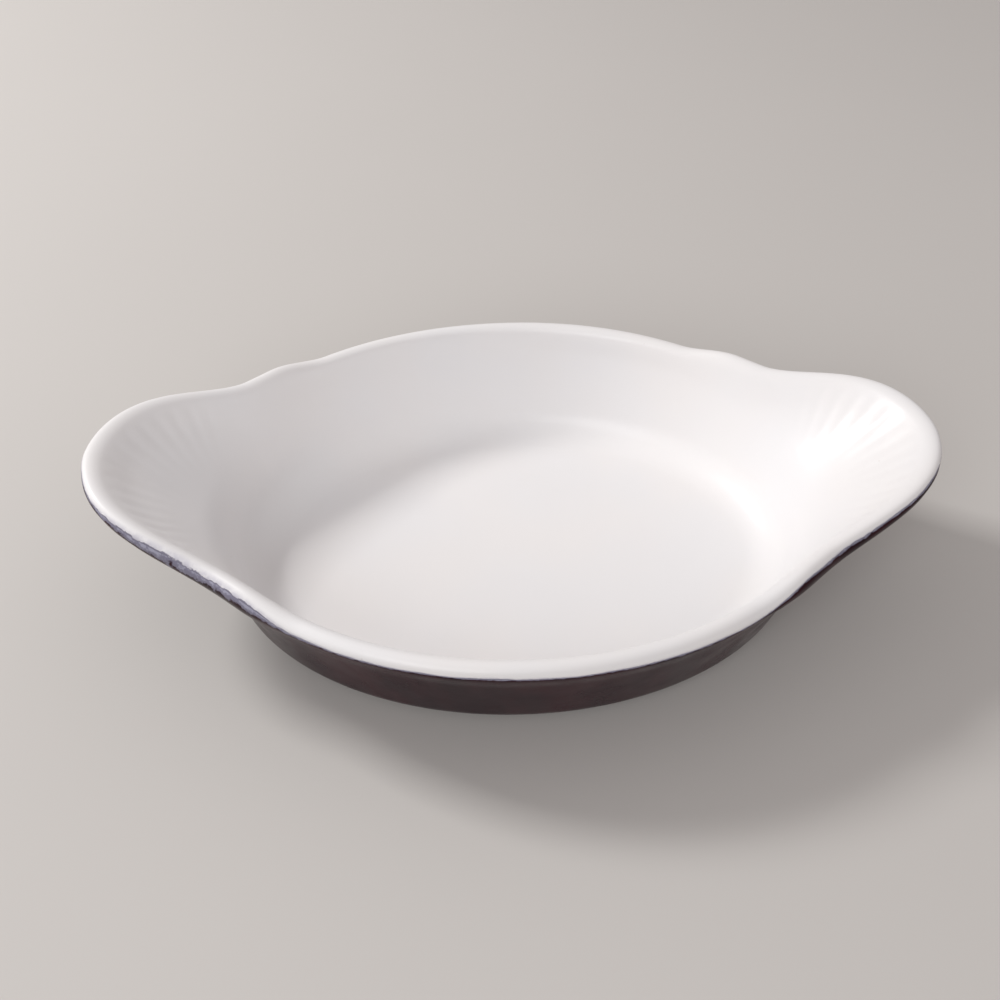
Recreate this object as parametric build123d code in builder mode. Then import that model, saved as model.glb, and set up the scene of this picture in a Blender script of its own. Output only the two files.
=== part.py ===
from build123d import *
import os
from math import cos, hypot, pi, radians, sin

os.makedirs("parts", exist_ok=True)

# Overall sizes, in millimetres. X runs from ear to ear, Y across the dish,
# and Z up from the face of the foot ring, with the origin under the middle.
overall_length = 300.0
rim_length = 229.4
rim_width = 183.0
rim_height = 50.0
ear_tip_height = 63.7

# The oval that the middle of the wall draws where it meets the underside
base_length = 200.8
base_width = 143.2

# Walls and floor of the glazed dish
wall_thickness = 5.2
floor_thickness = 5.0
rim_radius = 3.3
rim_swell_length = 10.0
ear_swell_length = 17.0
outer_corner_radius = 12.0
inner_corner_radius = 15.0

# Foot ring of bare clay, and its place inside the base oval
foot_height = 1.8
foot_ring_width = 5.0
foot_ring_inset = 7.5
foot_edge_radius = 0.6

# Where the ends of the wall open out into the ears
ear_root_height = 28.2
ear_root_bend = 5.0
ear_half_angle = 28.8
ear_fullness = 1.74
ear_valley_share = 0.54

# The ears' rim is fuller outside: how much thicker, and how far down it is thickest
ear_edge_thickening = 1.2
ear_edge_drop = 3.0

# How the rim climbs: a low shoulder on each side, then the ear
shoulder_rise = 3.7
shoulder_start = 70.5
shoulder_end = 90.5
ear_rise_start = 99.5
ear_rise_power = 1.4

# Coats of glaze, and how far below the top of the rim the white coat ends
glaze_thickness = 0.4
glaze_line_drop = 3.5
ear_glaze_line_drop = 1.9

# Working sizes: how far cutting forms reach past the dish, how far they reach in under
# its floor, how deep hidden edges lie, and how finely the wall is drawn
overrun = 20.0
hub_reach = 40.0
hub_width = 2.0
tuck = 0.02
sections_per_quarter = 20

# How far its handles reach when a Bezier curve follows a quarter of an oval
quarter_oval_share = 0.5523

half_wall = wall_thickness / 2
floor_top = foot_height + floor_thickness
floor_middle = foot_height + floor_thickness / 2
tip_reach = overall_length / 2 - rim_radius
tip_rise = ear_tip_height - rim_radius
rim_rise = rim_height - rim_radius
ear_rise = ear_tip_height - rim_height - shoulder_rise
lean_along = (rim_length / 2 - rim_radius - base_length / 2) / (rim_rise - foot_height)
lean_across = (rim_width / 2 - rim_radius - base_width / 2) / (rim_rise - foot_height)
ear_spread = tip_reach - base_length / 2 - lean_along * (tip_rise - foot_height)
ear_spread = ear_spread / (tip_rise - ear_root_height)


def outward(turn):
    """Direction square to the base oval, in plan."""
    along, across = cos(turn) / base_length, sin(turn) / base_width
    return along / hypot(along, across), across / hypot(along, across)


def lean(turn):
    """How far the plain wall leans out for each step up."""
    along, across = outward(turn)
    return lean_along * cos(turn) * along + lean_across * sin(turn) * across


def spread(turn):
    """How much further the wall opens out above the ear's root: most at the tip of an ear."""
    from_tip = abs((turn + pi / 2) % pi - pi / 2)
    fall = 1 - (from_tip / radians(ear_half_angle)) ** ear_fullness
    share = (fall + hypot(fall, ear_valley_share)) / (1 + hypot(1, ear_valley_share))
    return ear_spread * share


def ease(share):
    """A smooth step from 0 to 1."""
    share = min(max(share, 0), 1)
    return share * share * (3 - 2 * share)


def shoulder(x):
    """How far the plain rim has turned into an ear's rim, over one place along the dish."""
    return ease((abs(x) - shoulder_start) / (shoulder_end - shoulder_start))


def rim_top(x):
    """Height of the rim's top over one place along the dish."""
    ear = (abs(x) - ear_rise_start) / (overall_length / 2 - ear_rise_start)
    ear = min(max(ear, 0), 1)
    return rim_height + shoulder_rise * shoulder(x) + ear_rise * sin(ear * pi / 2) ** ear_rise_power


def rim_centre(turn):
    """Centre of the rounded rim, as its distance out from the base oval and its height."""
    height = rim_rise
    for _ in range(40):
        reach = lean(turn) * (height - foot_height) + spread(turn) * (height - ear_root_height)
        x = base_length / 2 * cos(turn) + outward(turn)[0] * reach
        height = (height + rim_top(x) - rim_radius) / 2
    return Vector(reach, height)


def section_plane(turn):
    """Upright plane square to the base oval: its x runs outwards and its y runs up."""
    along, across = outward(turn)
    origin = (base_length / 2 * cos(turn), base_width / 2 * sin(turn), 0)
    return Plane(origin, x_dir=(along, across, 0), z_dir=(across, -along, 0))


class WallLine:
    """The straight run of the wall's middle below the ear's root, and the one above it."""

    def __init__(self, turn):
        low, high = lean(turn), lean(turn) + spread(turn)
        self.rim = rim_centre(turn)
        self.root = Vector(low * (ear_root_height - foot_height), ear_root_height)
        self.low_up = Vector(low, 1).normalized()
        self.high_up = Vector(high, 1).normalized()
        self.low_out = Vector(self.low_up.Y, -self.low_up.X)
        self.high_out = Vector(self.high_up.Y, -self.high_up.X)
        self.ear = shoulder(base_length / 2 * cos(turn) + outward(turn)[0] * self.rim.X)

    def between(self, plain, on_ear):
        """A size that changes from its value on the plain rim to the one on the ears."""
        return plain + (on_ear - plain) * self.ear

    def middle(self, height):
        """The wall's middle at one height."""
        up, start = (self.low_up, self.root) if height < ear_root_height else (self.high_up, self.rim)
        return start + up * ((height - start.Y) / up.Y)

    def root_corner(self, shift):
        """Where the two runs of one face would meet."""
        both = self.low_out + self.high_out
        return self.root + both * (shift / (1 + self.low_out.dot(self.high_out)))

    def corner(self, level, radius, shift):
        """Ends, middle and centre of the arc that rounds one face into a level plane."""
        top = level + radius * (1 - self.low_up.X)
        on_face = self.root_corner(shift)
        on_face = on_face - self.low_up * ((on_face.Y - top) / self.low_up.Y)
        centre = on_face - self.low_out * radius
        middle = centre + (self.low_out + Vector(0, -1)).normalized() * radius
        return on_face, middle, Vector(centre.X, level)


def draw_face(line, shift, swell_length, start, end):
    """One face of the wall, from its lower corner to the start of the rounded rim."""
    root = line.root_corner(shift)
    swell_start = line.rim - line.high_up * swell_length + line.high_out * shift
    half_swell = line.high_up * (line.high_up.dot(end - swell_start) / 2)
    bend_start = root - line.low_up * ear_root_bend
    bend_end = root + line.high_up * ear_root_bend
    Line(start, bend_start)
    Bezier(bend_start, root, bend_end)
    Line(bend_end, swell_start)
    Bezier(swell_start, swell_start + half_swell, end - half_swell, end)


def dish_section(turn, coat):
    """The wall's section with every glazed face moved in by one coat, from the floor's edge out."""
    line = WallLine(turn)
    half = half_wall - coat
    radius = rim_radius - coat
    under = foot_height + coat - tuck
    floor = floor_top - coat - tuck
    outer, outer_middle, outer_foot = line.corner(under, outer_corner_radius - coat, half)
    inner, inner_middle, inner_foot = line.corner(floor, inner_corner_radius + coat, -half)
    hub = min(inner_foot.X, outer_foot.X) - hub_width
    crest = line.rim + line.high_up * radius
    edge_drop = line.between(0, ear_edge_drop)
    edge_reach = radius + line.between(0, ear_edge_thickening)
    rim_outside = line.rim + line.high_out * edge_reach - line.high_up * edge_drop
    rim_inside = line.rim - line.high_out * radius
    inside_middle = line.rim + (line.high_up - line.high_out).normalized() * radius
    handle_up = line.high_up * (quarter_oval_share * (radius + edge_drop))
    handle_out = line.high_out * (quarter_oval_share * edge_reach)
    outer_swell = line.between(rim_swell_length, ear_swell_length)
    with BuildSketch(section_plane(turn)) as section:
        with BuildLine():
            Polyline(inner_foot, (hub, floor), (hub, under), outer_foot)
            ThreePointArc(outer_foot, outer_middle, outer)
            draw_face(line, half, outer_swell, outer, rim_outside)
            Bezier(rim_outside, rim_outside + handle_up, crest + handle_out, crest)
            ThreePointArc(crest, inside_middle, rim_inside)
            draw_face(line, -half, rim_swell_length, inner, rim_inside)
            ThreePointArc(inner, inner_middle, inner_foot)
        make_face()
    return section.sketch


def divider_section(turn):
    """Space outside the wall's middle and under the floor's, up to the line where the glazes meet."""
    line = WallLine(turn)
    corner_top, _, corner_foot = line.corner(foot_height, outer_corner_radius, half_wall)
    glaze_line = line.rim.Y + rim_radius - line.between(glaze_line_drop, ear_glaze_line_drop)
    top = line.middle(glaze_line)
    outside = top.X + overrun
    with BuildSketch(section_plane(turn)) as section:
        with BuildLine():
            Polyline(
                (-hub_reach, floor_middle),
                (corner_foot.X, floor_middle),
                line.middle(corner_top.Y),
                line.root,
                top,
                (outside, glaze_line),
                (outside, -overrun),
                (-hub_reach, -overrun),
                close=True,
            )
        make_face()
    return section.sketch


# Directions of the sections, from just before the tip of an ear to just past the side
section_turns = [pi / 2 * i / sections_per_quarter for i in range(-1, sections_per_quarter + 2)]


def plate(bottom, top, inset):
    """An oval plate that keeps inside the base oval by a given inset."""
    with BuildPart() as disc:
        with BuildSketch(Plane.XY.offset(bottom)):
            Ellipse(base_length / 2 - inset, base_width / 2 - inset)
        extrude(amount=top - bottom)
    return disc.part


def quarter_space(bottom):
    """The quarter of space above one height that holds one quarter of the dish."""
    size = overall_length + overrun
    with BuildPart() as block:
        with Locations((0, 0, bottom)):
            Box(size, size, size, align=(Align.MIN, Align.MIN, Align.MIN))
    return block.part


def floor_inset():
    """How far the floor's plate keeps inside the base oval, so that its edge is hidden in the wall."""
    feet = 0
    for turn in (0, pi / 2):
        line = WallLine(turn)
        feet += line.corner(foot_height, outer_corner_radius, half_wall)[2].X
        feet += line.corner(floor_top, inner_corner_radius, -half_wall)[2].X
    return -feet / 4


def quarter_dish(coat):
    """One quarter of the dish with every glazed face moved in by one coat."""
    with BuildPart() as quarter:
        for turn in section_turns:
            add(dish_section(turn, coat))
        loft()
        add(plate(foot_height - overrun, floor_top - coat, floor_inset()))
        add(quarter_space(foot_height + coat), mode=Mode.INTERSECT)
    return quarter.part


def foot_ring():
    """The raised oval ring that the dish stands on, with its lower edges eased."""
    with BuildPart() as ring:
        add(plate(0, floor_middle, foot_ring_inset))
        add(plate(0, floor_middle, foot_ring_inset + foot_ring_width), mode=Mode.SUBTRACT)
        fillet(ring.edges().group_by(Axis.Z)[0], foot_edge_radius)
        add(quarter_space(0), mode=Mode.INTERSECT)
    return ring.part


def mirror_quarter():
    """Turn the open part's one quarter into the whole."""
    mirror(about=Plane.XZ)
    mirror(about=Plane.YZ)


# One quarter of the clay and of the glaze all round it
clay_quarter = quarter_dish(glaze_thickness)

with BuildPart() as glaze_quarter:
    add(quarter_dish(0))
    add(clay_quarter, mode=Mode.SUBTRACT)

with BuildPart() as divider:
    for turn in section_turns:
        add(divider_section(turn))
    loft()

# The clay: floor, wall, rounded rim and ears in one, on its foot ring
with BuildPart() as stoneware_body:
    add(clay_quarter)
    add(foot_ring())
    mirror_quarter()

# White glaze inside, over the rim and a little way down outside it
with BuildPart() as white_inner_glaze:
    add(glaze_quarter.part)
    add(divider.part, mode=Mode.SUBTRACT)
    add(plate(-overrun, floor_middle, foot_ring_inset), mode=Mode.SUBTRACT)
    mirror_quarter()

# Dark glaze outside, from that line down to the foot ring
with BuildPart() as dark_outer_glaze:
    add(glaze_quarter.part)
    add(divider.part, mode=Mode.INTERSECT)
    add(plate(-overrun, floor_middle, foot_ring_inset), mode=Mode.SUBTRACT)
    mirror_quarter()

# The same dark glaze under the floor, inside the foot ring
with BuildPart() as underside_glaze:
    add(glaze_quarter.part)
    add(plate(-overrun, floor_middle, foot_ring_inset + foot_ring_width), mode=Mode.INTERSECT)
    mirror_quarter()

stoneware_body.part.label = "stoneware_body"
export_step(stoneware_body.part, "parts/stoneware_body.step")
white_inner_glaze.part.label = "white_inner_glaze"
export_step(white_inner_glaze.part, "parts/white_inner_glaze.step")
dark_outer_glaze.part.label = "dark_outer_glaze"
export_step(dark_outer_glaze.part, "parts/dark_outer_glaze.step")
underside_glaze.part.label = "underside_glaze"
export_step(underside_glaze.part, "parts/underside_glaze.step")
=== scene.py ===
# %% [markdown]
# # An oval gratin dish in stoneware
#
# This is one piece of fired clay with three coats of glaze on it: white inside and over
# the rim, dark aubergine outside, and the same dark glaze under the floor. The measured
# solids of the clay and of each coat are already made. This file gives each of them a
# finer skin, a finish, and a small plain studio to be looked at in.
#
# All lengths are in metres. X runs from ear to ear, Y across the dish and Z up, with
# the origin on the table under the middle of the dish.

# %% Load the measured dish
import math

import bmesh
import bpy
import numpy as np
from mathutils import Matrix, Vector


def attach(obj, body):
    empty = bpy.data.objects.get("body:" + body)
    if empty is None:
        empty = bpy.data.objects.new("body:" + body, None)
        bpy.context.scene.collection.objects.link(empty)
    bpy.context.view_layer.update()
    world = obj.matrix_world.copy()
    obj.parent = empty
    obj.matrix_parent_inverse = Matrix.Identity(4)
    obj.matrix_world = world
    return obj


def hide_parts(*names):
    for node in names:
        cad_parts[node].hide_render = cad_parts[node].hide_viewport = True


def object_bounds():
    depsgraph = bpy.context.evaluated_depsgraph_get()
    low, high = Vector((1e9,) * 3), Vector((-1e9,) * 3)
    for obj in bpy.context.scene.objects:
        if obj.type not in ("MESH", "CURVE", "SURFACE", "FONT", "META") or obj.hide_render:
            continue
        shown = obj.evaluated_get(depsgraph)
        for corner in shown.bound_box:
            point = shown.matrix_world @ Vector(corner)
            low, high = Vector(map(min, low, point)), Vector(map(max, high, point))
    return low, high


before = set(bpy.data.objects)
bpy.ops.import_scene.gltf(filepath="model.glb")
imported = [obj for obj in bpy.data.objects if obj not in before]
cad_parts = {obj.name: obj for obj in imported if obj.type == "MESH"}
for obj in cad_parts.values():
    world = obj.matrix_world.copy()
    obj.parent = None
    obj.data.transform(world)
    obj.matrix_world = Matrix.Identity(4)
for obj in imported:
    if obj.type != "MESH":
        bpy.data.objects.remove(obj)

cad_low, cad_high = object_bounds()
print("The measured dish is", [round(side, 4) for side in cad_high - cad_low], "m")

# %% [markdown]
# ## The sizes that shape the wall
#
# A potter would describe this dish with few numbers: the oval of its foot, how far the
# wall leans out, how high the rim stands, and where the wall folds outwards into the
# ears. The dish's length and the height of its ears are read from the measured solids,
# so the skins can't outgrow them.
#
# The rim isn't the same all round. On the ears it climbs, its outer side is fuller and
# hangs a little lower, and its inner side rolls off softly into the ear. The sizes whose
# names start with ear say how much.

# %% Name the sizes
dish_length = cad_high.x - cad_low.x
ear_tip_height = cad_high.z
rim_length = 0.2294
rim_width = 0.183
rim_height = 0.050
base_length = 0.2008
base_width = 0.1432

wall_thickness = 0.0052
floor_thickness = 0.005
rim_radius = 0.0033
rim_swell_length = 0.010
ear_swell_length = 0.017
outer_corner_radius = 0.012
inner_corner_radius = 0.015

foot_height = 0.0018
foot_ring_width = 0.005
foot_ring_inset = 0.0075
foot_edge_radius = 0.0006

ear_root_height = 0.0282
ear_root_bend = 0.0115
ear_half_angle = math.radians(28.8)
ear_fullness = 1.74
ear_valley_share = 0.54
ear_edge_thickening = 0.0012
ear_edge_drop = 0.003
ear_inner_drop = 0.0022

shoulder_rise = 0.0037
shoulder_start = 0.0705
shoulder_end = 0.0908
ear_rise_start = 0.0995
ear_rise_power = 1.4

glaze_thickness = 0.0004
glaze_line_drop = 0.0035
ear_glaze_line_drop = 0.0019

half_wall = wall_thickness / 2
floor_top = foot_height + floor_thickness
tip_reach = dish_length / 2 - rim_radius
tip_rise = ear_tip_height - rim_radius
rim_rise = rim_height - rim_radius
ear_rise = ear_tip_height - rim_height - shoulder_rise
lean_along = (rim_length / 2 - rim_radius - base_length / 2) / (rim_rise - foot_height)
lean_across = (rim_width / 2 - rim_radius - base_width / 2) / (rim_rise - foot_height)
reach_beyond_lean = tip_reach - base_length / 2 - lean_along * (tip_rise - foot_height)
ear_spread = reach_beyond_lean / (tip_rise - ear_root_height)
print("The wall leans out", round(math.degrees(math.atan(lean_along)), 1), "degrees at its ends,")
print("and an ear leans out", round(math.degrees(math.atan(lean_along + ear_spread)), 1), "degrees")

# %% [markdown]
# ## Walking round the oval
#
# Every direction round the dish has one upright section. `turn` is the angle on the base
# oval, and one array holds all the turns, so each formula is written once and worked out
# for the whole dish. The ears come from a single curve: how much further the wall opens
# out in each direction, most at the tip and almost nothing past the valleys beside it.

# %% Work out the wall in every direction
columns = 720
rim_search_passes = 40
turns = np.arange(columns) * 2 * np.pi / columns


def ease(share):
    """A smooth step from 0 to 1."""
    share = np.clip(share, 0, 1)
    return share * share * (3 - 2 * share)


def pair(first, second):
    """Two columns of numbers side by side, such as the x and y of many points."""
    return np.stack(np.broadcast_arrays(first, second), axis=-1)


outward = pair(np.cos(turns) / base_length, np.sin(turns) / base_width)
outward = outward / np.linalg.norm(outward, axis=1, keepdims=True)
base_oval = pair(base_length / 2 * np.cos(turns), base_width / 2 * np.sin(turns))

lean = pair(lean_along * np.cos(turns), lean_across * np.sin(turns))
low_slope = (lean * outward).sum(axis=1)
from_tip = np.abs((turns + np.pi / 2) % np.pi - np.pi / 2)
fall = 1 - (from_tip / ear_half_angle) ** ear_fullness
ear_share = (fall + np.hypot(fall, ear_valley_share)) / (1 + np.hypot(1, ear_valley_share))
high_slope = low_slope + ear_spread * ear_share


def shoulder(x):
    """How far the plain rim has turned into an ear's rim, over one place along the dish."""
    return ease((np.abs(x) - shoulder_start) / (shoulder_end - shoulder_start))


def rim_top(x):
    """Height of the rim's top over one place along the dish."""
    ear = np.clip((np.abs(x) - ear_rise_start) / (dish_length / 2 - ear_rise_start), 0, 1)
    climb = ear_rise * np.sin(ear * np.pi / 2) ** ear_rise_power
    return rim_height + shoulder_rise * shoulder(x) + climb


def find_rim():
    """Centre of the rounded rim in each section, found by closing in on its height."""
    height = np.full(columns, rim_rise)
    for _ in range(rim_search_passes):
        reach = low_slope * (height - foot_height)
        reach = reach + (high_slope - low_slope) * (height - ear_root_height)
        height = (height + rim_top(base_oval[:, 0] + outward[:, 0] * reach) - rim_radius) / 2
    return pair(reach, height)


rim = find_rim()
on_ear = shoulder(base_oval[:, 0] + outward[:, 0] * rim[:, 0])
print("The rim's centre climbs from", round(rim[:, 1].min(), 4), "to", round(rim[:, 1].max(), 4), "m")

# %% [markdown]
# ## Drawing one section
#
# A section is drawn the way it would be turned or pressed: from the flat of the floor,
# round the inner corner, up the wall, out into the ear, over the rounded rim and down
# again outside. Points are spaced along each stretch by plain formulas: an arc for a
# corner, a straight run, a soft bend at the ear's root, and a slow swell up to the rim.
# The same drawing is made for the glazed face and, one coat deeper, for the clay.
#
# The steps are the numbers of points on each stretch. The bend takes no more than a set
# share of the wall between it and the swell, and the handles of the swell's curve lie
# half way up its climb.

# %% Draw the sections
corner_steps = 16
lower_wall_steps = 8
bend_steps = 16
upper_wall_steps = 24
swell_steps = 16
rim_points = 49
bend_room_share = 0.95
swell_handle_share = 0.5


def unit(slope):
    """Unit directions up a slope and square to it, outwards."""
    length = np.hypot(slope, 1)
    return pair(slope / length, 1 / length), pair(1 / length, -slope / length)


low_up, low_out = unit(low_slope)
high_up, high_out = unit(high_slope)
root = pair(low_slope * (ear_root_height - foot_height), ear_root_height)


def spaced(steps):
    """Even shares from 0 to just short of 1, shaped to go with an array of points."""
    return np.arange(steps)[None, :, None] / steps


def straight(start, end, steps):
    """Points along straight runs."""
    return start[:, None] + (end - start)[:, None] * spaced(steps)


def between(plain, ear):
    """A size that changes from its value on the plain rim to the one on the ears."""
    return (plain + (ear - plain) * on_ear)[:, None]


def draw_face(shift, swell_length, swell_end, level, radius):
    """One face of the wall, from its lower corner on a level plane up to the rounded rim."""
    facing = low_out + high_out
    meet = root + facing * (shift / (1 + (low_out * high_out).sum(1)))[:, None]
    top = level + radius * (1 - low_up[:, 0])
    corner_end = meet - low_up * ((meet[:, 1] - top) / low_up[:, 1])[:, None]
    centre = corner_end - low_out * radius
    sweep = np.arctan2(low_out[:, 1], low_out[:, 0]) + np.pi / 2
    angle = sweep[:, None] * spaced(corner_steps)[..., 0] - np.pi / 2
    corner = centre[:, None] + radius * pair(np.cos(angle), np.sin(angle))

    room = ((rim - root) * high_up).sum(1)[:, None] - swell_length
    bend_length = np.minimum(ear_root_bend, bend_room_share * room)
    bend_start = meet - low_up * bend_length
    bend_end = meet + high_up * bend_length
    t = spaced(bend_steps)
    bend = (1 - t) ** 2 * bend_start[:, None] + 2 * t * (1 - t) * meet[:, None]
    bend = bend + t**2 * bend_end[:, None]

    swell_start = rim - high_up * swell_length + high_out * shift
    climb = ((swell_end - swell_start) * high_up).sum(1)[:, None] * high_up
    t = spaced(swell_steps)
    swell = climb[:, None] * (3 * swell_handle_share * t * (1 - t) + t**3)
    swell = swell_start[:, None] + swell + (swell_end - swell_start - climb)[:, None] * ease(t)
    lower_wall = straight(corner_end, bend_start, lower_wall_steps)
    upper_wall = straight(bend_end, swell_start, upper_wall_steps)
    return np.concatenate([corner, lower_wall, bend, upper_wall, swell], axis=1)


def draw_section(coat):
    """A whole section with every glazed face moved in by one coat, from floor to foot ring."""
    radius = rim_radius - coat
    edge_drop, inner_drop = between(0, ear_edge_drop), between(0, ear_inner_drop)
    edge_reach = radius + between(0, ear_edge_thickening)
    widest = rim + high_out * edge_reach - high_up * edge_drop
    narrowest = rim - high_out * radius - high_up * inner_drop
    swell = between(rim_swell_length, ear_swell_length)
    inner_corner, outer_corner = inner_corner_radius + coat, outer_corner_radius - coat
    inside = draw_face(coat - half_wall, swell, narrowest, floor_top - coat, inner_corner)
    outside = draw_face(half_wall - coat, swell, widest, foot_height + coat, outer_corner)
    angle = np.linspace(-np.pi / 2, np.pi / 2, rim_points)[None, :, None]
    outer_half = angle > 0
    drop = np.where(outer_half, edge_drop[:, None], inner_drop[:, None])
    reach = np.where(outer_half, edge_reach[:, None], radius)
    upwards = (radius + drop) * np.cos(angle) * high_up[:, None]
    outwards = reach * np.sin(angle) * high_out[:, None]
    over = rim[:, None] + (upwards + outwards) - drop * high_up[:, None]
    under = pair(np.full(columns, -foot_ring_inset), foot_height + coat)[:, None]
    return np.concatenate([inside, over, outside[:, ::-1], under], axis=1)


def distances(line):
    """Distance along each section's line, from its start."""
    steps = np.linalg.norm(np.diff(line, axis=1), axis=2)
    return np.concatenate([np.zeros((columns, 1)), np.cumsum(steps, axis=1)], axis=1)


def resample(line, starts, ends, shares):
    """The same stretch of every section, with points at the same shares of its length."""
    run = distances(line)
    where = starts[:, None] + (ends - starts)[:, None] * shares[None]
    points = np.empty(where.shape + (2,))
    for i in range(columns):
        for axis in (0, 1):
            points[i, :, axis] = np.interp(where[i], run[i], line[i, :, axis])
    return points


faces = {coat: draw_section(coat) for coat in (0, glaze_thickness)}
print("Each section has", faces[0].shape[1], "points, and there are", columns, "sections")

# %% [markdown]
# ## Where one glaze ends and the next begins
#
# The white coat comes over the rim and stops a few millimetres below its crest. Glaze is
# liquid when it is poured, so this line is never quite level: it wanders in slow waves.
# The waves are sums of sines whose count goes evenly round the dish, so they close up.
#
# Where the two glazes meet they break into each other. The break is narrow nearly all
# round, and widest on the front flank of the left ear. The points of the white and the
# outer dark skin carry their distance from the line, counted in widths of the break
# there, for the finishes to use.

# %% Find the glaze line and the crest of the rim
def waves(lobes, phases):
    """Slow waves round the dish, between -1 and 1."""
    return sum(np.sin(n * turns + phase) for n, phase in zip(lobes, phases)) / len(lobes)


line_wander = 0.0004
drop = between(glaze_line_drop, ear_glaze_line_drop)[:, 0]
drop = drop + line_wander * waves((5, 13, 22, 37), (0.4, 1.9, 3.1, 5.0))
glaze_line_height = rim[:, 1] + rim_radius - drop

narrow_break = 0.0018
wide_break = 0.0075
break_centre = math.radians(208)
break_spread = math.radians(16)
break_unevenness = 0.25
from_break = (turns - break_centre + np.pi) % (2 * np.pi) - np.pi
widening = np.exp(-((from_break / break_spread) ** 2))
break_width = narrow_break + (wide_break - narrow_break) * widening
break_width = break_width * (1 + break_unevenness * waves((6, 11, 17), (2.1, 0.6, 4.4)))


def reach_height(line, heights):
    """Distance along each section at which its outside comes down past a given height."""
    run = distances(line)
    crest = line[:, :, 1].argmax(axis=1)
    found = np.empty(columns)
    for i in range(columns):
        outside = line[i, crest[i]:, 1]
        found[i] = np.interp(-heights[i], -outside, run[i, crest[i]:])
    return found


def crest_distance(line):
    """Distance along each section at which it comes over the crest of the rim."""
    run = distances(line)
    return run[np.arange(columns), line[:, :, 1].argmax(axis=1)]


glaze_line = {coat: reach_height(line, glaze_line_height) for coat, line in faces.items()}
section_end = {coat: distances(line)[:, -1] for coat, line in faces.items()}
print("The white coat ends", round(drop.min() * 1000, 2), "to", round(drop.max() * 1000, 2), "mm down")

# %% [markdown]
# ## Flutes pressed into the ears
#
# The upper face of each ear has shallow flutes that fan out from the bowl, a grip for a
# cloth-covered finger. Each is deepest beside the rim and fades out before the bowl. They
# are pressed into the mesh itself, clay and glaze together, instead of being painted as
# a bump, so that they also catch the light from the side.
#
# Hand-made ware is also slightly uneven. The wall leans in and the rim sinks a little
# here and there, never outwards or upwards, so the skins stay within the measured dish.

# %% Shape flutes and small unevenness
flute_depth = 0.0002
flute_pitch = math.radians(9.6)
flute_fan_centre = 0.098
flute_fan_limit = math.radians(76)
flute_fade_start = 0.004
flute_fade_length = 0.032
flute_sharpness = 1.4
fan_edge_share = 0.2
uneven_depth = 0.0003
least_length = 1e-12


def flute_depth_at(points, below_rim_edge):
    """Depth of the flutes at points on the upper face of the ears."""
    across = points[..., 1]
    beyond = np.abs(points[..., 0]) - flute_fan_centre
    fan = np.arctan2(across, beyond)
    groove = (0.5 + 0.5 * np.cos(2 * np.pi * fan / flute_pitch)) ** flute_sharpness
    within = ease((flute_fan_limit - np.abs(fan)) / (fan_edge_share * flute_fan_limit))
    start = ease(below_rim_edge / flute_fade_start)
    fade = 1 - ease((below_rim_edge - flute_fade_start) / flute_fade_length)
    return flute_depth * groove * within * start * fade


lean_in = uneven_depth * (0.5 + 0.5 * waves((2, 3, 5), (0.8, 2.2, 4.1)))
sink = uneven_depth * (0.5 + 0.5 * waves((3, 4, 7), (1.5, 0.3, 2.7)))


def place(section_points):
    """Section points placed round the dish, with its small unevenness."""
    height = section_points[..., 1]
    high = ease(height / rim_height)
    reach = section_points[..., 0] - lean_in[:, None] * high
    plan = base_oval[:, None] + outward[:, None] * reach[..., None]
    return np.concatenate([plan, (height - sink[:, None] * high)[..., None]], axis=2)


def flute(points, run_from_rim_edge):
    """Press the flutes into the part of a skin that lies inside the rim."""
    along = np.gradient(points, axis=1)
    around = np.roll(points, -1, axis=0) - np.roll(points, 1, axis=0)
    normal = np.cross(around, along)
    normal = normal / np.maximum(np.linalg.norm(normal, axis=2, keepdims=True), least_length)
    normal = normal * np.sign(normal[..., 2:3] + least_length)
    return points - normal * flute_depth_at(points, run_from_rim_edge)[..., None]


print("Each ear has", 2 * int(flute_fan_limit / flute_pitch) + 1, "flutes")

# %% [markdown]
# ## From rings of points to a closed skin
#
# A coat of glaze is a thin closed shell: its glazed face, and its back against the clay.
# Points at one place along all the sections form a ring round the dish, and neighbouring
# rings are joined by four-sided faces. Where a skin reaches the middle of the floor, the
# last ring closes on a single point. Blender is given all the points and faces at once,
# which is much faster than adding them one by one.

# %% Build skins from rings
def build_skin(name, rings, poles, values=None):
    """A closed mesh through rings of points. It ends in two poles, or closes on itself."""
    count = len(rings)
    points = rings.reshape(-1, 3)
    corner = np.arange(columns)
    beside = np.roll(corner, -1)
    quads = []
    for i in range(count - 1 if poles else count):
        low, high = i * columns, (i + 1) % count * columns
        quads.append(np.stack([low + corner, low + beside, high + beside, high + corner], axis=1))
    quads = np.concatenate(quads)
    triangles = np.empty((0, 3), int)
    if poles:
        points = np.concatenate([points, np.array(poles)])
        first, last = count * columns, count * columns + 1
        end = (count - 1) * columns
        start_fan = np.stack([np.full(columns, first), beside, corner], axis=1)
        end_fan = np.stack([np.full(columns, last), end + corner, end + beside], axis=1)
        triangles = np.concatenate([start_fan, end_fan])
    mesh = bpy.data.meshes.new(name)
    mesh.from_pydata(points.tolist(), [], quads.tolist() + triangles.tolist())
    if values is not None:
        layer = mesh.attributes.new("run", "FLOAT", "POINT")
        filled = np.zeros(len(points), np.float32)
        filled[: values.size] = values.ravel()
        layer.data.foreach_set("value", filled)
    work = bmesh.new()
    work.from_mesh(mesh)
    bmesh.ops.recalc_face_normals(work, faces=work.faces)
    work.to_mesh(mesh)
    work.free()
    mesh.polygons.foreach_set("use_smooth", [True] * len(mesh.polygons))
    piece = bpy.data.objects.new(name, mesh)
    bpy.context.scene.collection.objects.link(piece)
    print(name, "has", len(mesh.vertices), "points and", len(mesh.polygons), "faces")
    return piece


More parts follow.
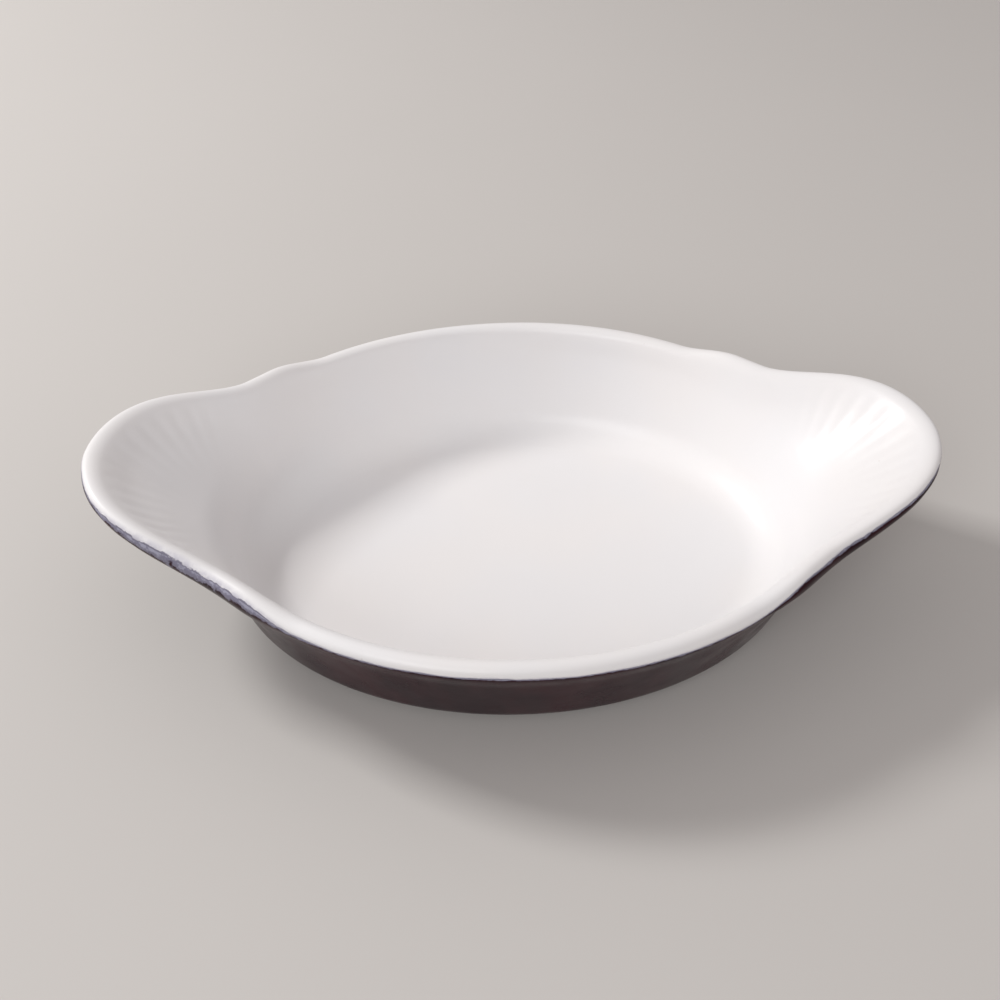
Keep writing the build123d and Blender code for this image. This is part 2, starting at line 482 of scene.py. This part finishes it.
def floor_rings(edge, level, count):
    """Rings from near the middle of a flat floor out to its edge."""
    shares = (np.arange(count) + 1)[None, :, None] / (count + 1)
    plan = edge[:, None, :2] * shares
    return np.concatenate([plan, np.full(plan.shape[:2] + (1,), level)], axis=2)


def as_rings(points):
    """Reorder points from section by section to ring by ring."""
    return np.swapaxes(points, 0, 1)


# %% [markdown]
# ## The white coat
#
# The white glaze lies on the whole inside, runs over the rim and ends at the glaze line.
# Its points are spread evenly along each section, with extra ones over the rim, whose
# tight curve makes the brightest highlight of the dish. Nobody sees the coat's back,
# which lies against the clay, so it makes do with every fourth ring and the last.

# %% Make the white coat
rim_share = 0.9
side_rows = 56
rim_rows = 32
hidden_row_step = 4
seen_floor_rings = 10
hidden_floor_rings = 2

side_shares = np.linspace(0, rim_share, side_rows, endpoint=False)
white_shares = np.concatenate([side_shares, np.linspace(rim_share, 1, rim_rows)])
hidden_shares = np.append(white_shares[::hidden_row_step], 1)


def white_skin(coat, shares):
    """The white coat's glazed face, or its back, and how far each point is from the line."""
    line = faces[coat]
    section_points = resample(line, np.zeros(columns), glaze_line[coat], shares)
    run = glaze_line[coat][:, None] * shares[None]
    rim_edge = crest_distance(line)[:, None] - rim_radius * np.pi / 2
    points = flute(place(section_points), rim_edge - run)
    return points, glaze_line[coat][:, None] * (1 - shares[None]) / break_width[:, None]


white_face, white_run = white_skin(0, white_shares)
white_back, back_run = white_skin(glaze_thickness, hidden_shares)
floor_face = floor_rings(white_face[:, 0], floor_top, seen_floor_rings)
floor_back = floor_rings(white_back[:, 0], floor_top - glaze_thickness, hidden_floor_rings)
white_rings = [floor_face, white_face, white_back[:, ::-1], floor_back[:, ::-1]]
far_inside = np.full((columns, seen_floor_rings), white_run.max())
white_values = [far_inside, white_run, back_run[:, ::-1], far_inside[:, :hidden_floor_rings]]
white_glaze = build_skin(
    "white_glaze",
    as_rings(np.concatenate(white_rings, axis=1)),
    [(0, 0, floor_top), (0, 0, floor_top - glaze_thickness)],
    as_rings(np.concatenate(white_values, axis=1)),
)

# %% [markdown]
# ## The dark coats
#
# Outside, the dark glaze starts where the white one stops and ends at the foot ring in a
# small rounded roll, because the potter wipes the foot clean before firing. A second
# patch of it covers the underside within the ring. The rings lie closest under the glaze
# line and in the roll, where most happens in the least space.

# %% Make the dark coats
edge_roll = 0.0006
dark_rows = 46
dark_row_crowding = 1.25
rows_before_foot = 4
foot_rows = 12
underside_rings = 10
roll_shares = (1, 0.7, 0.4, 0.2, 0.08)


def rolled(face, back, to_edge):
    """Let a coat thin out to a rounded edge within a short distance of its end."""
    near = np.clip(1 - to_edge / edge_roll, 0, 1)[..., None]
    return back + (face - back) * np.sqrt(1 - near**2)


dark_shares = 1 - np.linspace(1, 0, dark_rows) ** dark_row_crowding
near_foot = np.linspace(dark_shares[-rows_before_foot], 1, foot_rows)
dark_shares = np.concatenate([dark_shares[:-rows_before_foot], near_foot])


def dark_skin(coat):
    """The dark coat's glazed face, or its back, how far each point is below the line in
    widths of the break, and how far it is from the foot ring in metres."""
    ends = section_end[coat]
    section_points = resample(faces[coat], glaze_line[coat], ends, dark_shares)
    length = (ends - glaze_line[coat])[:, None]
    run = length * dark_shares[None] / break_width[:, None]
    return place(section_points), run, length * (1 - dark_shares[None])


dark_face, dark_run, dark_left = dark_skin(0)
dark_back, _, _ = dark_skin(glaze_thickness)
dark_face = rolled(dark_face, dark_back, dark_left)
dark_glaze = build_skin(
    "dark_glaze",
    as_rings(np.concatenate([dark_face, dark_back[:, ::-1]], axis=1)),
    None,
    as_rings(np.concatenate([dark_run, dark_run[:, ::-1]], axis=1)),
)

ring_inside = -foot_ring_inset - foot_ring_width


def level_ring(reach, height):
    """A ring at one distance from the base oval and one height."""
    plan = base_oval + outward * reach
    return np.concatenate([plan, np.full((columns, 1), height)], axis=1)[:, None]


def underside_skin(level):
    """Rings on the underside, from its middle out to the foot ring."""
    edge = level_ring(ring_inside, level)
    rolls = [level_ring(ring_inside - edge_roll * share, level) for share in roll_shares]
    middle = floor_rings(rolls[0][:, 0], level, underside_rings)
    return np.concatenate([middle, *rolls, edge], axis=1)


under_face = underside_skin(foot_height)
under_back = underside_skin(foot_height + glaze_thickness)
to_ring = np.linalg.norm(under_face - under_face[:, -1:], axis=2)
under_face = rolled(under_face, under_back, to_ring)
under_glaze = build_skin(
    "under_glaze",
    as_rings(np.concatenate([under_face, under_back[:, ::-1]], axis=1)),
    [(0, 0, foot_height), (0, 0, foot_height + glaze_thickness)],
)

# %% [markdown]
# ## The clay under the glaze
#
# Nearly all of the clay is hidden, but the foot ring is bare, and the clay's own closed
# skin carries it. The ring is ground flat underneath, with eased edges, so that the dish
# stands steady and doesn't scratch a table.

# %% Make the clay body
foot_edge_points = 6
foot_side_share = 0.6
clay_rows = 64
clay_floor_rings = 3


def foot_outline():
    """The foot ring's own outline, from its outer edge under the wall to its inner edge."""
    outer, inner = -foot_ring_inset, ring_inside
    rounded = []
    for turn in np.linspace(0, np.pi / 2, foot_edge_points):
        inset = foot_edge_radius * (1 - math.cos(turn))
        height = foot_edge_radius * (1 - math.sin(turn))
        rounded.append((outer - inset, height))
    mirrored = [(outer + inner - reach, height) for reach, height in reversed(rounded)]
    top = foot_height + glaze_thickness
    side = top * foot_side_share
    return [(outer, side)] + rounded + mirrored + [(inner, side), (inner, top)]


clay_line = faces[glaze_thickness]
clay_shares = np.linspace(0, 1, clay_rows)
clay_section = resample(clay_line, np.zeros(columns), section_end[glaze_thickness], clay_shares)
clay_run = section_end[glaze_thickness][:, None] * clay_shares[None] - crest_distance(clay_line)[:, None]
clay_wall = flute(place(clay_section), -(clay_run + rim_radius * np.pi / 2))
foot_rings = [level_ring(reach, height) for reach, height in foot_outline()]
clay_floor = floor_rings(clay_wall[:, 0], floor_top - glaze_thickness, clay_floor_rings)
clay_under = floor_rings(foot_rings[-1][:, 0], foot_height + glaze_thickness, clay_floor_rings)
clay_rings = [clay_floor, clay_wall, *foot_rings, clay_under[:, ::-1]]
clay_body = build_skin(
    "clay_body",
    as_rings(np.concatenate(clay_rings, axis=1)),
    [(0, 0, floor_top - glaze_thickness), (0, 0, foot_height + glaze_thickness)],
)

# %% [markdown]
# ## Putting the skins in the measured dish's place
#
# Each skin stands for one measured solid, which is then hidden, and moves with the one
# body that the dish is.

# %% Place the skins
for piece, node, slot in (
    (white_glaze, "white_inner_glaze", "white_glaze"),
    (dark_glaze, "dark_outer_glaze", "dark_glaze"),
    (under_glaze, "underside_glaze", "underside_dark_glaze"),
    (clay_body, "stoneware_body", "bare_stoneware"),
):
    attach(piece, "root")
    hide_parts(node)
    print(piece.name, "stands for", node)

# %% [markdown]
# ## A small kit for finishes
#
# A material is a graph of nodes. A few helpers keep the graphs readable: they start a
# material, add a noise pattern, read how far a point is from the glaze line, turn one
# range of numbers into another, do plain sums, blend colours and add fine relief. All
# patterns follow the object's own coordinates in metres, so 200 spots to the metre means
# one about each 5 mm.

# %% Helpers for materials
def start_material(name):
    """A new material with its nodes, its links and its main shader."""
    material = bpy.data.materials.new(name)
    material.use_nodes = True
    tree = material.node_tree
    return material, tree, tree.nodes["Principled BSDF"]


def noise(tree, spots_per_metre, detail=3, roughness=0.5, stretch=(1, 1, 1)):
    """A noise pattern over the object, between 0 and 1."""
    coordinates = tree.nodes.new("ShaderNodeTexCoord")
    mapping = tree.nodes.new("ShaderNodeMapping")
    mapping.inputs["Scale"].default_value = stretch
    tree.links.new(coordinates.outputs["Object"], mapping.inputs["Vector"])
    pattern = tree.nodes.new("ShaderNodeTexNoise")
    pattern.inputs["Scale"].default_value = spots_per_metre
    pattern.inputs["Detail"].default_value = detail
    pattern.inputs["Roughness"].default_value = roughness
    tree.links.new(mapping.outputs["Vector"], pattern.inputs["Vector"])
    return pattern.outputs["Fac"]


def run_value(tree):
    """The distance from the glaze line that each point of a skin carries."""
    node = tree.nodes.new("ShaderNodeAttribute")
    node.attribute_name = "run"
    return node.outputs["Fac"]


def remap(tree, value, source, target):
    """A number's range turned smoothly into another range."""
    node = tree.nodes.new("ShaderNodeMapRange")
    node.interpolation_type = "SMOOTHSTEP"
    for name, number in zip(("From Min", "From Max", "To Min", "To Max"), source + target):
        node.inputs[name].default_value = number
    tree.links.new(value, node.inputs["Value"])
    return node.outputs["Result"]


def combine(tree, operation, first, second):
    """Two values put together by plain arithmetic. A number may stand in for either."""
    node = tree.nodes.new("ShaderNodeMath")
    node.operation = operation
    for socket, value in zip(node.inputs, (first, second)):
        if isinstance(value, (int, float)):
            socket.default_value = value
        else:
            tree.links.new(value, socket)
    return node.outputs["Value"]


def blend_colours(tree, share, first, second):
    """One colour turning into another. Either may come from another blend."""
    node = tree.nodes.new("ShaderNodeMix")
    node.data_type = "RGBA"
    tree.links.new(share, node.inputs["Factor"])
    for name, colour in (("A", first), ("B", second)):
        socket = next(s for s in node.inputs if s.name == name and s.type == "RGBA")
        if isinstance(colour, tuple):
            socket.default_value = (*colour, 1)
        else:
            tree.links.new(colour, socket)
    return next(s for s in node.outputs if s.type == "RGBA")


def add_bump(tree, shader, height, distance, strength=1.0):
    """Fine relief, after any that the shader already has."""
    node = tree.nodes.new("ShaderNodeBump")
    node.inputs["Distance"].default_value = distance
    node.inputs["Strength"].default_value = strength
    tree.links.new(height, node.inputs["Height"])
    if shader.inputs["Normal"].links:
        tree.links.new(shader.inputs["Normal"].links[0].from_socket, node.inputs["Normal"])
    tree.links.new(node.outputs["Normal"], shader.inputs["Normal"])


# %% [markdown]
# ## The white glaze
#
# This is a glossy tin-white glaze. It is never one flat white: slow clouds a few
# centimetres wide turn it a touch warmer or cooler, and there are a few tiny specks.
# Beside the glaze line, where it thins out, it goes greyer and is dappled with the slate
# tone of the break. A thin clear coat over a softer base gives it a gentle shine.

# %% Finish the white glaze
slate = (0.21, 0.20, 0.265)
glaze_white_warm = (0.885, 0.868, 0.862)
glaze_white_cool = (0.868, 0.862, 0.868)
thinned_white = (0.56, 0.55, 0.62)
speck_brown = (0.52, 0.44, 0.37)


def finish_white(piece):
    """Glossy white with slow clouds and few specks, greyer and dappled near the line."""
    material, tree, shader = start_material("white_glaze_finish")
    clouds = remap(tree, noise(tree, spots_per_metre=22, detail=1), (0.25, 0.75), (0, 1))
    colour = blend_colours(tree, clouds, glaze_white_warm, glaze_white_cool)

    run = run_value(tree)
    near_line = remap(tree, run, (0, 0.55), (1, 0))
    grain = remap(tree, noise(tree, spots_per_metre=420, detail=5), (0.3, 0.6), (0.35, 1))
    colour = blend_colours(tree, combine(tree, "MULTIPLY", near_line, grain), colour, thinned_white)

    spots = noise(tree, spots_per_metre=330, detail=4)
    dapple = combine(tree, "ADD", spots, remap(tree, run, (0, 0.32), (0.14, -0.3)))
    colour = blend_colours(tree, remap(tree, dapple, (0.54, 0.62), (0, 1)), colour, slate)

    specks = remap(tree, noise(tree, spots_per_metre=620, detail=1), (0.82, 0.88), (0, 0.35))
    colour = blend_colours(tree, specks, colour, speck_brown)
    tree.links.new(colour, shader.inputs["Base Color"])

    rough = remap(tree, noise(tree, spots_per_metre=60, detail=1), (0.25, 0.75), (0.36, 0.46))
    tree.links.new(rough, shader.inputs["Roughness"])
    shader.inputs["Specular IOR Level"].default_value = 0.3
    shader.inputs["Coat Weight"].default_value = 0.12
    shader.inputs["Coat Roughness"].default_value = 0.12
    ripples = noise(tree, spots_per_metre=38, detail=1)
    add_bump(tree, shader, ripples, distance=0.0006, strength=0.4)
    piece.data.materials.append(material)
    return material


print("Finished", finish_white(white_glaze).name)

# %% [markdown]
# ## The dark glaze
#
# The outside is an aubergine so deep that it reads as black, with slow clouds and faint
# downward streaks of a slightly lighter, redder tone. Just under the white line the two
# glazes have run into each other, which leaves a dappled break of slate blue with a few
# paler flecks. The patch underneath is the same glaze without a break.

# %% Finish the dark glaze
aubergine_deep = (0.016, 0.003, 0.007)
aubergine_warm = (0.034, 0.006, 0.011)
pale_fleck = (0.38, 0.38, 0.47)


def finish_dark(piece, name, has_break):
    """Glossy aubergine, streaked downwards, with a slate break along its upper edge."""
    material, tree, shader = start_material(name)
    streaks = noise(tree, spots_per_metre=90, detail=4, stretch=(1, 1, 0.18))
    clouds = noise(tree, spots_per_metre=26, detail=3)
    warmth = remap(tree, combine(tree, "ADD", streaks, clouds), (0.75, 1.25), (0, 1))
    colour = blend_colours(tree, warmth, aubergine_deep, aubergine_warm)
    if has_break:
        run = run_value(tree)
        spots = noise(tree, spots_per_metre=330, detail=5, roughness=0.65)
        near_line = remap(tree, run, (0, 1), (0.34, -0.16))
        dapple = combine(tree, "ADD", spots, near_line)
        colour = blend_colours(tree, remap(tree, dapple, (0.56, 0.70), (0, 1)), colour, slate)
        flecks = remap(tree, dapple, (0.78, 0.92), (0, 0.8))
        colour = blend_colours(tree, flecks, colour, pale_fleck)
    tree.links.new(colour, shader.inputs["Base Color"])

    rough = remap(tree, noise(tree, spots_per_metre=70, detail=4), (0.3, 0.7), (0.16, 0.28))
    tree.links.new(rough, shader.inputs["Roughness"])
    shader.inputs["IOR"].default_value = 1.18
    add_bump(tree, shader, streaks, distance=0.0005, strength=0.4)
    grain = noise(tree, spots_per_metre=700, detail=2)
    add_bump(tree, shader, grain, distance=0.00005, strength=0.5)
    piece.data.materials.append(material)
    return material


print("Finished", finish_dark(dark_glaze, "dark_glaze_finish", True).name)
print("Finished", finish_dark(under_glaze, "under_glaze_finish", False).name)

# %% [markdown]
# ## The bare clay
#
# Fired stoneware without glaze is a matte buff, toasted darker in places, gritty to the
# touch and peppered with small iron spots and open pores.

# %% Finish the bare clay
clay_buff = (0.42, 0.31, 0.22)
clay_toast = (0.26, 0.16, 0.10)
iron_brown = (0.08, 0.045, 0.03)


def finish_clay(piece):
    """Matte toasted buff with grit, iron spots and pores."""
    material, tree, shader = start_material("bare_stoneware_finish")
    toasting = remap(tree, noise(tree, spots_per_metre=35, detail=5), (0.35, 0.65), (0, 1))
    colour = blend_colours(tree, toasting, clay_buff, clay_toast)
    spots = remap(tree, noise(tree, spots_per_metre=1100, detail=1), (0.66, 0.72), (0, 0.9))
    colour = blend_colours(tree, spots, colour, iron_brown)
    tree.links.new(colour, shader.inputs["Base Color"])

    rough = remap(tree, noise(tree, spots_per_metre=300), (0.3, 0.7), (0.72, 0.92))
    tree.links.new(rough, shader.inputs["Roughness"])
    shader.inputs["Specular IOR Level"].default_value = 0.25
    grit = noise(tree, spots_per_metre=1500, detail=4)
    add_bump(tree, shader, grit, distance=0.0001, strength=0.8)
    pores = remap(tree, noise(tree, spots_per_metre=520, detail=2), (0.62, 0.70), (0, -1))
    add_bump(tree, shader, pores, distance=0.0002, strength=0.7)
    piece.data.materials.append(material)
    return material


print("Finished", finish_clay(clay_body).name)

# %% [markdown]
# ## A plain pale studio
#
# The dish stands on one wide pale sheet of matte paper. The sheet lies a hair below the
# foot, because two faces in one plane would flicker through each other.

# %% Lay the floor
floor_half_size = 3.0
floor_gap = 0.00005
paper_tones = (0.61, 0.59, 0.565), (0.64, 0.62, 0.595)

floor_mesh = bpy.data.meshes.new("studio_floor")
square = (-1, -1), (1, -1), (1, 1), (-1, 1)
floor_corners = [(floor_half_size * x, floor_half_size * y, -floor_gap) for x, y in square]
floor_mesh.from_pydata(floor_corners, [], [(0, 1, 2, 3)])
studio_floor = bpy.data.objects.new("studio_floor", floor_mesh)
bpy.context.scene.collection.objects.link(studio_floor)

floor_material, floor_tree, floor_shader = start_material("studio_paper")
floor_tone = blend_colours(floor_tree, noise(floor_tree, spots_per_metre=3), *paper_tones)
floor_tree.links.new(floor_tone, floor_shader.inputs["Base Color"])
floor_shader.inputs["Roughness"].default_value = 0.7
floor_shader.inputs["Specular IOR Level"].default_value = 0.2
floor_mesh.materials.append(floor_material)
print("The floor is", 2 * floor_half_size, "m wide")

# %% [markdown]
# The key light is a soft panel from behind on the left, low enough that the left ear
# shades its own upper face and its rim throws a soft shadow across the floor of the bowl.
# A wider, cooler panel from the front, a little to the left, lifts the near side.

# %% Set the lights
def add_panel(name, azimuth, elevation, distance, size, power, colour):
    """A soft square panel that shines on the dish from a direction given in degrees."""
    lamp = bpy.data.lights.new(name, "AREA")
    lamp.size = size
    lamp.energy = power
    lamp.color = colour
    panel = bpy.data.objects.new(name, lamp)
    bpy.context.scene.collection.objects.link(panel)
    turn, lift = math.radians(azimuth), math.radians(elevation)
    across = math.cos(lift)
    direction = Vector((across * math.cos(turn), across * math.sin(turn), math.sin(lift)))
    panel.location = direction * distance
    panel.rotation_euler = direction.to_track_quat("Z", "Y").to_euler()
    print(name, "shines from", [round(c, 2) for c in panel.location])


warm_lamp, cool_lamp = (1.0, 0.99, 0.98), (0.97, 0.985, 1.0)
add_panel("key_panel", 152, 41, distance=1.6, size=0.34, power=13, colour=warm_lamp)
add_panel("fill_panel", -115, 35, distance=1.8, size=0.9, power=10, colour=cool_lamp)

# %% [markdown]
# The sky has two tones. A dim warm one lights the dish, so that the panels set the
# shadows. The camera and the shiny glazes see a plain near-white one instead.

# %% Spread the sky
world = bpy.data.worlds.new("pale_studio")
bpy.context.scene.world = world
world.use_nodes = True
sky_tree = world.node_tree
background = sky_tree.nodes["Background"]
background.inputs["Color"].default_value = (1.0, 0.925, 0.915, 1)
background.inputs["Strength"].default_value = 0.41
white_sky = sky_tree.nodes.new("ShaderNodeBackground")
white_sky.inputs["Color"].default_value = (0.86, 0.86, 0.87, 1)
white_sky.inputs["Strength"].default_value = 1
seen = sky_tree.nodes.new("ShaderNodeLightPath")
either = combine(sky_tree, "MAXIMUM", seen.outputs["Is Camera Ray"], seen.outputs["Is Glossy Ray"])
either = combine(sky_tree, "MAXIMUM", either, seen.outputs["Is Transmission Ray"])
switch = sky_tree.nodes.new("ShaderNodeMixShader")
sky_tree.links.new(either, switch.inputs[0])
sky_tree.links.new(background.outputs[0], switch.inputs[1])
sky_tree.links.new(white_sky.outputs[0], switch.inputs[2])
sky_tree.links.new(switch.outputs[0], sky_tree.nodes["World Output"].inputs["Surface"])
bpy.context.scene.view_settings.view_transform = "Standard"
print("The sky is pale and the view is plain")

# %% [markdown]
# ## The camera
#
# The camera stands where the photographer stood: in front, looking down at about 44
# degrees and quite close, which makes the near side look larger than the far side. Its
# place was worked out from the outlines of the dish, so it is given by a pitch, a
# distance, a small turn of the dish and a small shift, instead of by eye.

# %% Place the camera
image_width = 1000
focal_pixels = 1134.558
camera_distance = 0.438514
camera_pitch = math.radians(43.6)
dish_yaw = math.radians(3.369)
camera_roll = math.radians(0.252)
camera_side_step = -0.005661
camera_rise = 0.024362


def turn_with_dish(vector):
    """A direction or place given facing the camera, turned into the dish's own frame."""
    cosine, sine = math.cos(dish_yaw), math.sin(dish_yaw)
    x = cosine * vector.x + sine * vector.y
    y = cosine * vector.y - sine * vector.x
    return Vector((x, y, vector.z))


sine, cosine = math.sin(camera_pitch), math.cos(camera_pitch)
eye = Vector((camera_side_step, camera_rise * sine, camera_rise * cosine))
eye += camera_distance * Vector((0, -cosine, sine))
lens = bpy.data.cameras.new("photo_camera")
lens.sensor_width = 36
lens.lens = focal_pixels * lens.sensor_width / image_width
camera = bpy.data.objects.new("photo_camera", lens)
bpy.context.scene.collection.objects.link(camera)
camera.location = turn_with_dish(eye)
ahead = turn_with_dish(Vector((0, cosine, -sine)))
camera.rotation_euler = ahead.to_track_quat("-Z", "Y").to_euler()
camera.rotation_euler.rotate_axis("Z", camera_roll)
bpy.context.scene.camera = camera
print("The camera stands at", [round(c, 3) for c in camera.location])

# %% [markdown]
# ## Finish
#
# The skins must stay within the measured dish. Last, the scene is brought up to date.

bpy.context.view_layer.update()
